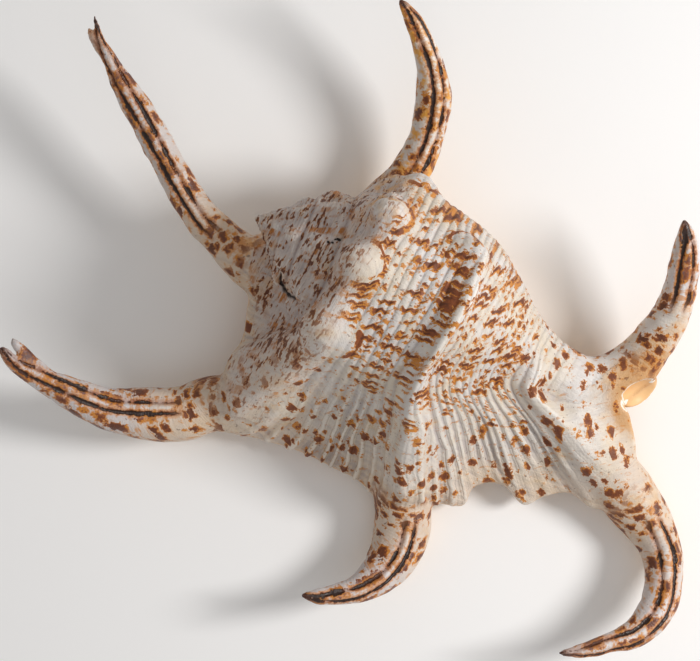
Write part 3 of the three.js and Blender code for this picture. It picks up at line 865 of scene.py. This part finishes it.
# ---- The finish ----
class Finish:
    """A material's nodes, with short names for the few kinds that the shell needs."""

    def __init__(self, name):
        self.material = bpy.data.materials.new(name)
        self.material.use_nodes = True
        self.tree = self.material.node_tree
        self.shader = next(n for n in self.tree.nodes if n.type == "BSDF_PRINCIPLED")

    def add(self, kind, **settings):
        made = self.tree.nodes.new(kind)
        for key, value in settings.items():
            setattr(made, key, value)
        return made

    def feed(self, socket, value):
        if isinstance(value, bpy.types.NodeSocket):
            self.tree.links.new(value, socket)
        else:
            socket.default_value = value

    def number(self, operation, *values):
        made = self.add("ShaderNodeMath", operation=operation)
        for socket, value in zip(made.inputs, values):
            self.feed(socket, value)
        return made.outputs[0]

    def times(self, *values):
        return reduce(lambda a, b: self.number("MULTIPLY", a, b), values)

    def plus(self, *values):
        return reduce(lambda a, b: self.number("ADD", a, b), values)

    def less(self, a, b):
        return self.number("SUBTRACT", a, b)

    def larger(self, a, b):
        return self.number("MAXIMUM", a, b)

    def held(self, name):
        return self.add("ShaderNodeAttribute", attribute_name=name).outputs["Fac"]

    def spot(self, x, y, z=0.0):
        made = self.add("ShaderNodeCombineXYZ")
        for socket, value in zip(made.inputs, (x, y, z)):
            self.feed(socket, value)
        return made.outputs[0]

    def noise(self, spot, scale, detail, rough=0.5):
        made = self.add("ShaderNodeTexNoise")
        for name, value in (("Vector", spot), ("Scale", scale), ("Detail", detail), ("Roughness", rough)):
            self.feed(made.inputs[name], value)
        return made.outputs["Fac"]

    def mapped(self, spot, socket, value):
        made = self.add("ShaderNodeMapping")
        self.feed(made.inputs["Vector"], spot)
        made.inputs[socket].default_value = value
        return made.outputs[0]

    def scaled(self, spot, scale):
        return self.mapped(spot, "Scale", scale)

    def moved(self, spot, offset):
        return self.mapped(spot, "Location", offset)

    def turned(self, spot, degrees):
        return self.mapped(spot, "Rotation", (0, 0, math.radians(degrees)))

    def patches(self, spot, small, large, metric="CHEBYCHEV", flat="2D"):
        """Separate patches of mixed sizes, one to a cell: above 0 inside a patch."""
        made = self.add("ShaderNodeTexVoronoi", voronoi_dimensions=flat, feature="F1", distance=metric)
        self.feed(made.inputs["Vector"], spot)
        made.inputs["Scale"].default_value = 1.0
        made.inputs["Randomness"].default_value = 0.9
        split = self.add("ShaderNodeSeparateColor")
        self.feed(split.inputs[0], made.outputs["Color"])
        return self.less(self.rise(split.outputs[0], 0.0, 1.0, small, large), made.outputs["Distance"])

    def rise(self, value, low, high, bottom=0.0, top=1.0):
        """Goes smoothly from bottom to top while the value goes from low to high, which may be the lower."""
        made = self.add("ShaderNodeMapRange", interpolation_type="SMOOTHSTEP", clamp=True)
        for socket, number in zip(made.inputs, (value, low, high, bottom, top)):
            self.feed(socket, number)
        return made.outputs[0]

    def mix(self, share, below, above):
        made = self.add("ShaderNodeMix", data_type="RGBA")
        for socket, value in ((made.inputs[0], share), (made.inputs[6], below), (made.inputs[7], above)):
            self.feed(socket, value)
        return made.outputs[2]


def tint(red, green, blue):
    """A colour from its screen values of 0 to 255."""

    def light(value):
        value /= 255
        return value / 12.92 if value <= 0.04045 else ((value + 0.055) / 1.055) ** 2.4

    return (light(red), light(green), light(blue), 1.0)


CHALK, CREAM, ASH = tint(214, 208, 203), tint(215, 203, 186), tint(196, 181, 174)
AMBER, RUST, BARK, INK = tint(196, 126, 48), tint(132, 70, 34), tint(84, 46, 30), tint(34, 24, 22)
HONEY, STRAW = tint(222, 160, 70), tint(212, 176, 126)
PEACH, PORCELAIN = tint(224, 168, 106), tint(230, 192, 142)
WOOD, TAN, SMOKE = tint(150, 118, 98), tint(200, 152, 100), tint(158, 146, 147)
STEEL, PEARL, MILK = tint(146, 140, 150), tint(196, 196, 205), tint(236, 230, 220)

# Where the areas of colour begin and end, as shares from spire to canal and as corners of a slice.
RAMP_SHARE, RAMP_CORNER = (0.23, 0.15), (8.6, 7.4)
LIP_CORNER, MARGIN_CORNER, RIM_CORNER = (5.6, 8.4), (7.2, 9.0), (8.0, 8.8)
BLOTS_CORNER, BLOTS_SHARE = (6.2, 7.8), (0.76, 0.86)
WING_SHARE, WING_CORNER = (0.32, 0.24), (5.4, 6.6)
CREST_SHARE = (0.4, 0.32)
# Waves of noise to a millimetre.
FLUSH_WAVES, THIN_WAVES, CLOUD_WAVES, CROWD_WAVES, STAIN_WAVES = 0.05, 0.06, 0.08, 0.09, 0.13
FAINT_WAVES, WASH_WAVES, MATT_WAVES, ROUGH_WAVES, FRAY_WAVES = 0.2, 0.24, 0.5, 0.7, 0.8
DIRT_WAVES, PORE_WAVES = 0.9, 1.5
# How strongly each colour is laid on.
DARK_HEART, DIRT_SHOWN, STAIN_SHOWN, WOOD_SHOWN, PEARL_SHOWN = 0.75, 0.55, 0.4, 0.4, 0.6
GLOW_SHOWN, EMBER_SHOWN, LINE_SHOWN, STEEL_SHOWN, TIP_SHOWN, SUTURE_SHOWN = 0.7, 0.85, 0.95, 0.4, 0.7, 0.3
ROUGH_LOW, ROUGH_HIGH, SHINE = 0.42, 0.62, 0.4


def read_skin(f):
    """The fields kept on the skin, its place in mm, and how much of each area a point is in."""
    s = SimpleNamespace(**{name: f.held(name) for name in KEPT})
    s.place = f.scaled(f.add("ShaderNodeTexCoord").outputs["Object"], (1 / MM, 1 / MM, 1 / MM))
    s.ramp = f.larger(f.times(f.rise(s.share, *RAMP_SHARE), f.rise(s.corner, *RAMP_CORNER)), s.on_spire)
    s.outside = f.less(1.0, s.inner)
    s.on_ramp = f.times(s.ramp, f.less(1.0, s.on_finger), s.outside, s.upper)
    s.on_cords = f.times(f.less(1.0, s.ramp), f.less(1.0, s.on_finger), s.outside, s.upper)
    s.on_tube = f.times(s.on_finger, s.finger_top, s.outside)
    s.near_edge = f.rise(s.corner, *LIP_CORNER)
    s.curved = f.plus(s.finger_run, f.times(s.finger_side, s.finger_side, 0.05))
    s.rough_x = f.less(f.noise(s.place, ROUGH_WAVES, 3, 0.7), 0.5)
    s.rough_y = f.less(f.noise(f.moved(s.place, (31, 17, 5)), ROUGH_WAVES, 3, 0.7), 0.5)
    s.faint = f.rise(f.noise(s.place, FAINT_WAVES, 2), 0.48, 0.66, -0.02, 0.12)
    s.slanted = f.turned(s.place, -60)
    s.threads = f.noise(f.scaled(s.slanted, (0.25, 2.6, 0.4)), 1, 3)
    return s


def ground_colour(f, s):
    """Chalk white with clouds of cream, ash near the spire, pearl on the fingers, painted shade of smoke grey
    in the hollows and painted highlight of milk white on the crests.
    """
    clouds = f.noise(s.place, CLOUD_WAVES, 3)
    ground = f.mix(f.rise(clouds, 0.4, 0.62), CHALK, CREAM)
    ground = f.mix(f.times(0.5, s.near_edge), ground, CREAM)
    ground = f.mix(f.times(0.3, f.rise(s.corner, *MARGIN_CORNER)), ground, TAN)
    ground = f.mix(f.times(0.8, s.ramp), ground, ASH)
    grey = f.noise(f.spot(f.times(s.cord, 0.3), f.times(s.run, 0.9)), 1, 3)
    ground = f.mix(f.times(0.25, f.rise(grey, 0.45, 0.75)), ground, SMOKE)
    # Painted shade in the hollows (smoke grey), then painted highlight on the crests (milk white).
    ground = f.mix(f.times(0.55, f.rise(s.hollow, 0.05, 1.0)), ground, SMOKE)
    ground = f.mix(f.times(0.5, f.rise(s.hollow, -0.3, -1.0)), ground, MILK)
    wash = f.noise(s.place, WASH_WAVES, 3, 0.6)
    stain = f.noise(s.place, STAIN_WAVES, 3, 0.65)
    ground = f.mix(f.times(STAIN_SHOWN, f.rise(stain, 0.55, 0.72)), ground, STRAW)
    ground = f.mix(f.times(s.honey, f.rise(wash, 0.46, 0.64)), ground, HONEY)
    from_notch = f.add("ShaderNodeVectorMath", operation="DISTANCE")
    f.feed(from_notch.inputs[0], s.place)
    from_notch.inputs[1].default_value = NOTCH_SCOOP[0]
    stained = f.plus(from_notch.outputs["Value"], f.times(wash, 9.0))
    ground = f.mix(f.times(0.9, f.rise(stained, 21.0, 15.5)), ground, TAN)
    cool = f.times(s.on_tube, f.rise(s.finger_run, 8.0, 30.0), f.less(1.0, s.honey), PEARL_SHOWN)
    ground = f.mix(cool, ground, PEARL)
    return f.mix(f.times(f.rise(s.threads, 0.52, 0.7), s.on_ramp, WOOD_SHOWN), ground, WOOD)


def back_marks(f, s):
    """Short bars across the cords that shift from cord to cord, and separate blots towards the lip.

    Gives the amber edge, the rust core and the dark heart."""
    lot = f.add("ShaderNodeTexWhiteNoise", noise_dimensions="1D")
    f.feed(lot.inputs["W"], f.number("FLOOR", f.plus(s.cord, 0.5)))
    wave = f.number("COSINE", f.times(s.cord, 2 * math.pi))
    drift = f.noise(f.spot(f.times(s.cord, 0.13), f.times(s.run, 0.06), 7.0), 1, 2)
    apart = f.add("ShaderNodeSeparateXYZ")
    f.feed(apart.inputs[0], s.place)
    down = f.plus(f.times(apart.outputs[1], -1.15), f.times(apart.outputs[2], -0.3), f.times(s.cord, 0.5))
    shifted = f.times(f.less(lot.outputs["Value"], 0.5), 0.8)
    bent = f.plus(down, f.times(wave, 0.34), shifted, f.times(f.less(drift, 0.5), 5.0))

    bare_top = f.rise(s.knob, 0.34, 0.56, 0.0, 0.22)
    full_foot = f.times(f.rise(s.knob, 0.12, 0.2), f.rise(s.knob, 0.36, 0.28), -0.04)
    bald = f.times(f.rise(s.share, *CREST_SHARE, 0.2, 1.0), f.plus(bare_top, full_foot))
    thin = f.noise(s.place, THIN_WAVES, 2)
    sparse = f.plus(f.rise(s.corner, 5.2, 8.8, 0.0, 0.05), f.rise(thin, 0.3, 0.7, -0.02, 0.07), bald)
    scattered = f.larger(f.rise(s.corner, *BLOTS_CORNER), f.rise(s.share, *BLOTS_SHARE))
    scattered = f.larger(scattered, f.times(f.rise(s.share, *WING_SHARE), f.rise(s.corner, *WING_CORNER)))

    def marks(shift):
        high = f.plus(bent, shift, f.times(s.rough_y, 1.8))
        wide = f.plus(s.cord, f.times(s.rough_x, 1.3))
        long = f.patches(f.spot(f.times(wide, 0.36), f.times(high, 0.54)), -0.12, 0.37)
        short = f.patches(f.spot(f.times(wide, 1.0), f.times(high, 0.8)), -0.22, 0.35)
        bars = f.larger(long, f.times(short, 0.6))
        spot = f.moved(f.scaled(f.turned(s.place, -8), (0.33, 0.24, 0.28)), (shift * 0.1, shift * 0.2, 4))
        blots = f.patches(spot, -0.03, 0.58, "EUCLIDEAN", "3D")
        blots = f.plus(blots, f.times(s.rough_x, 0.8), f.times(s.rough_y, 0.8))
        both = f.plus(f.times(bars, f.less(1.0, scattered)), f.times(blots, scattered))
        return f.less(both, sparse)

    body, fringe = marks(0.0), marks(-0.4)
    firm = f.less(body, s.faint)
    core = f.rise(firm, 0.0, 0.06)
    heart = f.times(f.rise(firm, 0.08, 0.26), f.less(1.0, f.times(scattered, 0.45)))
    edge = f.larger(f.rise(fringe, -0.06, 0.0), f.times(f.rise(body, -0.09, 0.0), 0.9))

    wisps = f.noise(f.scaled(f.turned(s.place, -12), (0.34, 0.9, 0.6)), 1, 3, 0.65)
    fewer = f.less(0.85, f.plus(f.times(bald, 3.5), f.times(scattered, 0.3)))
    edge = f.larger(edge, f.times(f.rise(wisps, 0.59, 0.66), fewer))

    # Arcs of rust brown round the foot of each knob.
    foot = f.times(f.rise(s.knob, 0.14, 0.24), f.rise(s.knob, 0.38, 0.28))
    swayed = f.noise(f.moved(s.place, (5, 3, 9)), 0.2, 2)
    ragged = f.plus(f.times(s.rough_x, 1.8), f.times(s.rough_y, 1.2))
    arc = f.plus(foot, f.times(f.less(swayed, 0.5), 3.4), ragged, -1.0)
    arc = f.less(f.less(arc, f.rise(s.share, 0.4, 0.6)), f.rise(s.ramp, 0.2, 0.7))
    return f.larger(edge, f.rise(arc, -0.24, -0.08)), f.larger(core, f.rise(arc, -0.04, 0.08)), heart


def spire_marks(f, s):
    """Thin slanted streaks and a few brushed patches on the spire and the slope under it."""
    streak = f.noise(f.scaled(s.slanted, (0.36, 1.05, 0.36)), 1, 3, 0.6)
    streak = f.plus(streak, f.rise(f.noise(s.place, CROWD_WAVES, 2), 0.35, 0.65, -0.035, 0.045))
    brushed = f.noise(f.scaled(s.slanted, (0.2, 1.6, 0.2)), 1, 3, 0.6)
    patch = f.noise(f.scaled(f.turned(s.place, 8), (0.1, 0.26, 0.1)), 1, 2)
    patch = f.times(f.rise(patch, 0.55, 0.66), f.rise(brushed, 0.36, 0.6))
    core = f.rise(streak, 0.575, 0.61)
    return f.larger(f.rise(streak, 0.54, 0.59), patch), f.larger(core, f.times(patch, 0.4)), core


def finger_marks(f, s):
    """Blots in curved bands, drawn out towards the tip, and amber smears along the rings of growth."""
    near, far = f.number("MINIMUM", s.curved, 20), f.larger(s.curved, 20)
    along = f.plus(f.times(near, 0.3), f.times(far, 0.17), f.times(s.rough_y, 0.9))
    across = f.plus(f.times(s.finger_side, 0.26), f.times(s.rough_x, 1.2), f.times(s.honey, 3.0))
    between = f.times(s.furrow_on, f.less(1.0, s.furrow_outer))
    blot = f.patches(f.spot(along, across), 0.0, 0.5)
    blot = f.less(blot, f.plus(0.02, f.times(between, 0.08), f.times(s.honey, 0.06)))
    pale = f.less(blot, s.faint)
    arcs = f.noise(f.spot(f.times(s.curved, 0.62), f.times(s.finger_side, 0.11), 3.7), 1, 3, 0.65)
    smear = f.noise(f.spot(f.times(s.finger_run, 0.12), f.times(s.finger_side, 0.16), 8.3), 1, 2)
    smeared = f.times(f.rise(arcs, 0.54, 0.62), f.rise(smear, 0.48, 0.58), 0.75)
    return f.larger(f.rise(blot, -0.18, 0.0), smeared), f.rise(pale, 0.0, 0.06), f.rise(pale, 0.08, 0.24)


def furrow_colour(f, s, colour, blot_core):
    """The two dark furrows along each finger with their rusty halo, the cool grey ridge and the dark tip."""
    side = f.rise(s.finger_side, -0.1, 0.1)
    broken = f.noise(f.spot(f.times(s.finger_run, 0.11), f.plus(f.times(side, 9.2), 0.37), 5.4), 1, 2)
    width = f.plus(f.rise(broken, 0.38, 0.66, 0.06, 0.5), f.times(blot_core, 0.35))
    frayed = f.plus(s.furrow_off, f.times(f.less(f.noise(s.place, FRAY_WAVES, 2), 0.5), 0.8))
    line = f.times(f.rise(f.less(frayed, width), 0.16, -0.1), s.furrow_on)
    halo = f.plus(frayed, f.times(s.rough_x, 2.4))
    glow = f.times(f.rise(halo, 1.4, 0.95), s.furrow_on, f.rise(broken, 0.38, 0.48, 0.3, 1.0))
    ember = f.times(glow, f.rise(halo, 0.9, 0.5))
    steel = f.times(f.rise(s.furrow_off, 2.0, 0.6), s.furrow_on, f.less(1.0, s.honey), STEEL_SHOWN)
    colour = f.mix(f.times(steel, f.less(1.0, glow)), colour, STEEL)
    colour = f.mix(f.times(glow, GLOW_SHOWN), colour, AMBER)
    colour = f.mix(f.times(ember, EMBER_SHOWN), colour, RUST)
    colour = f.mix(f.times(line, LINE_SHOWN), colour, f.mix(f.rise(broken, 0.4, 0.52), BARK, INK))
    return f.mix(f.times(f.rise(s.finger_left, 4.0, 0.6), s.on_finger, TIP_SHOWN), colour, BARK), line


def fine_relief(f, s, crack, line):
    """Sharp gaps between cords, lines of growth, slanted threads, rings and pores, in mm."""
    gap = f.rise(f.number("PINGPONG", s.cord, 0.5), 0.2, 0.52)
    split_gap = f.rise(f.number("PINGPONG", f.times(s.cord, 2.0), 0.5), 0.3, 0.5)
    grow = f.noise(f.spot(f.times(s.cord, 0.25), f.times(s.run, 2.2)), 1, 3, 0.6)
    lip_lines = f.noise(f.spot(f.times(s.cord, 0.2), f.times(s.corner, 9.0)), 1, 2)
    rings = f.noise(f.spot(f.times(s.curved, 1.5), f.times(s.finger_side, 0.12)), 1, 2)
    pores = f.noise(s.place, PORE_WAVES, 3, 0.6)
    return f.plus(
        f.times(gap, s.cords_shown, f.plus(-0.2, f.times(s.near_edge, -0.12))),
        f.times(split_gap, s.cords_shown, s.near_edge, -0.2),
        f.times(grow, s.on_cords, 0.16),
        f.times(lip_lines, s.on_cords, f.rise(s.corner, *RIM_CORNER), 0.15),
        f.times(s.threads, s.on_ramp, 0.5),
        f.times(rings, s.on_tube, 0.2),
        f.times(pores, s.outside, 0.2),
        f.times(crack, -0.6),
        f.times(line, -0.35),
    )


def shell_finish():
    f = Finish("spotted_shell")
    s = read_skin(f)
    colour = ground_colour(f, s)
    bars, streaks, blots = back_marks(f, s), spire_marks(f, s), finger_marks(f, s)
    edge, core, heart = (
        f.plus(f.times(bar, s.on_cords), f.times(streak, s.on_ramp), f.times(blot, s.on_tube))
        for bar, streak, blot in zip(bars, streaks, blots)
    )
    colour = f.mix(edge, colour, AMBER)
    colour = f.mix(core, colour, RUST)
    colour = f.mix(f.times(DARK_HEART, heart), colour, BARK)
    dirt = f.rise(f.noise(s.place, DIRT_WAVES, 1), 0.71, 0.75)
    colour = f.mix(f.times(dirt, s.outside, DIRT_SHOWN), colour, BARK)
    colour, line = furrow_colour(f, s, colour, blots[1])
    glazed = f.times(f.less(1.0, s.upper), f.less(1.0, f.times(s.on_finger, f.rise(s.finger_run, 6.0, 34.0))))
    colour = f.mix(glazed, colour, PORCELAIN)

    # The glossy inside with its milk-white rim, the sutures, and the chips and the open seam painted near
    # black as painted shade in their gaps.
    flush = f.rise(f.noise(s.place, FLUSH_WAVES, 2), 0.3, 0.65)
    colour = f.mix(s.inner, colour, f.mix(flush, PEACH, PORCELAIN))
    colour = f.mix(f.rise(s.rim, 0.25, 0.6), colour, MILK)
    colour = f.mix(f.times(s.suture, SUTURE_SHOWN), colour, BARK)
    chipped = f.rise(f.plus(s.chips, f.times(s.rough_y, 2.2)), 0.62, 0.85)
    # Painted shade: the seam and the chips get near-black ink for the dark inside of their gaps.
    crack = f.times(f.larger(f.rise(s.seam_gap, 0.5, 0.12), chipped), s.upper)
    f.feed(f.shader.inputs["Base Color"], f.mix(crack, colour, INK))

    matt = f.rise(f.noise(s.place, MATT_WAVES, 3), 0.3, 0.7, ROUGH_LOW, ROUGH_HIGH)
    rough = f.plus(matt, f.times(s.on_tube, -0.14), f.times(s.inner, -0.1), f.times(crack, 0.4))
    f.feed(f.shader.inputs["Roughness"], rough)
    f.shader.inputs["Specular IOR Level"].default_value = SHINE

    bump = f.add("ShaderNodeBump")
    bump.inputs["Strength"].default_value = 1.0
    bump.inputs["Distance"].default_value = MM
    f.feed(bump.inputs["Height"], fine_relief(f, s, crack, line))
    f.feed(f.shader.inputs["Normal"], bump.outputs[0])
    return f.material


shell.data.materials.clear()
shell.data.materials.append(shell_finish())
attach(shell, "root")
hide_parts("shell")


# ---- Floor, light and camera ----
# Waves of the floor's grain to a metre and how dark they get, then its half width in metres.
GRAIN_WAVES, GRAIN_DARK, FLOOR_SIZE = 9.0, 0.985, 4
WARM_WHITE, SKY_WHITE, SKY_STRENGTH = (1.0, 0.99, 0.98), (1.0, 0.99, 0.985, 1), 0.4
# The photograph looks straight down and shows 196 mm at 1 m from the camera.
SENSOR, VIEW_WIDTH = 36, 196


def plain_finish(name, colour, roughness):
    f = Finish(name)
    grain = f.noise(f.add("ShaderNodeTexCoord").outputs["Object"], GRAIN_WAVES, 2)
    darker = tuple(GRAIN_DARK * c for c in colour[:3]) + (1.0,)
    f.feed(f.shader.inputs["Base Color"], f.mix(grain, colour, darker))
    f.shader.inputs["Roughness"].default_value = roughness
    return f.material


floor_net = bmesh.new()
bmesh.ops.create_grid(floor_net, x_segments=1, y_segments=1, size=FLOOR_SIZE)
floor = object_of(floor_net, "floor")
floor.data.materials.append(plain_finish("pale_floor", tint(250, 249, 248), 0.9))

scene = bpy.context.scene
scene.view_settings.view_transform = "Standard"
world = bpy.data.worlds.new("soft_light")
world.use_nodes = True
sky = world.node_tree.nodes["Background"]
sky.inputs[0].default_value = SKY_WHITE
sky.inputs[1].default_value = SKY_STRENGTH
scene.world = world


def soft_lamp(name, place, size, power):
    lamp = bpy.data.lights.new(name, "AREA")
    lamp.shape, lamp.size, lamp.energy, lamp.color = "DISK", size, power, WARM_WHITE
    made = bpy.data.objects.new(name, lamp)
    made.location = place
    made.rotation_euler = (-Vector(place)).to_track_quat("-Z", "Y").to_euler()
    scene.collection.objects.link(made)


soft_lamp("main_light", (0.56, 0.02, 0.42), 0.2, 3.6)
soft_lamp("fill_light", (0.2, -0.5, 1.2), 0.8, 1.0)

camera_data = bpy.data.cameras.new("photo_view")
camera_data.sensor_width = SENSOR
camera_data.lens = SENSOR * 1000 / VIEW_WIDTH
camera_data.clip_start, camera_data.clip_end = 0.05, 20
camera = bpy.data.objects.new("photo_view", camera_data)
camera.location = (0.000142, -0.000388, 1.025)
scene.collection.objects.link(camera)
scene.camera = camera
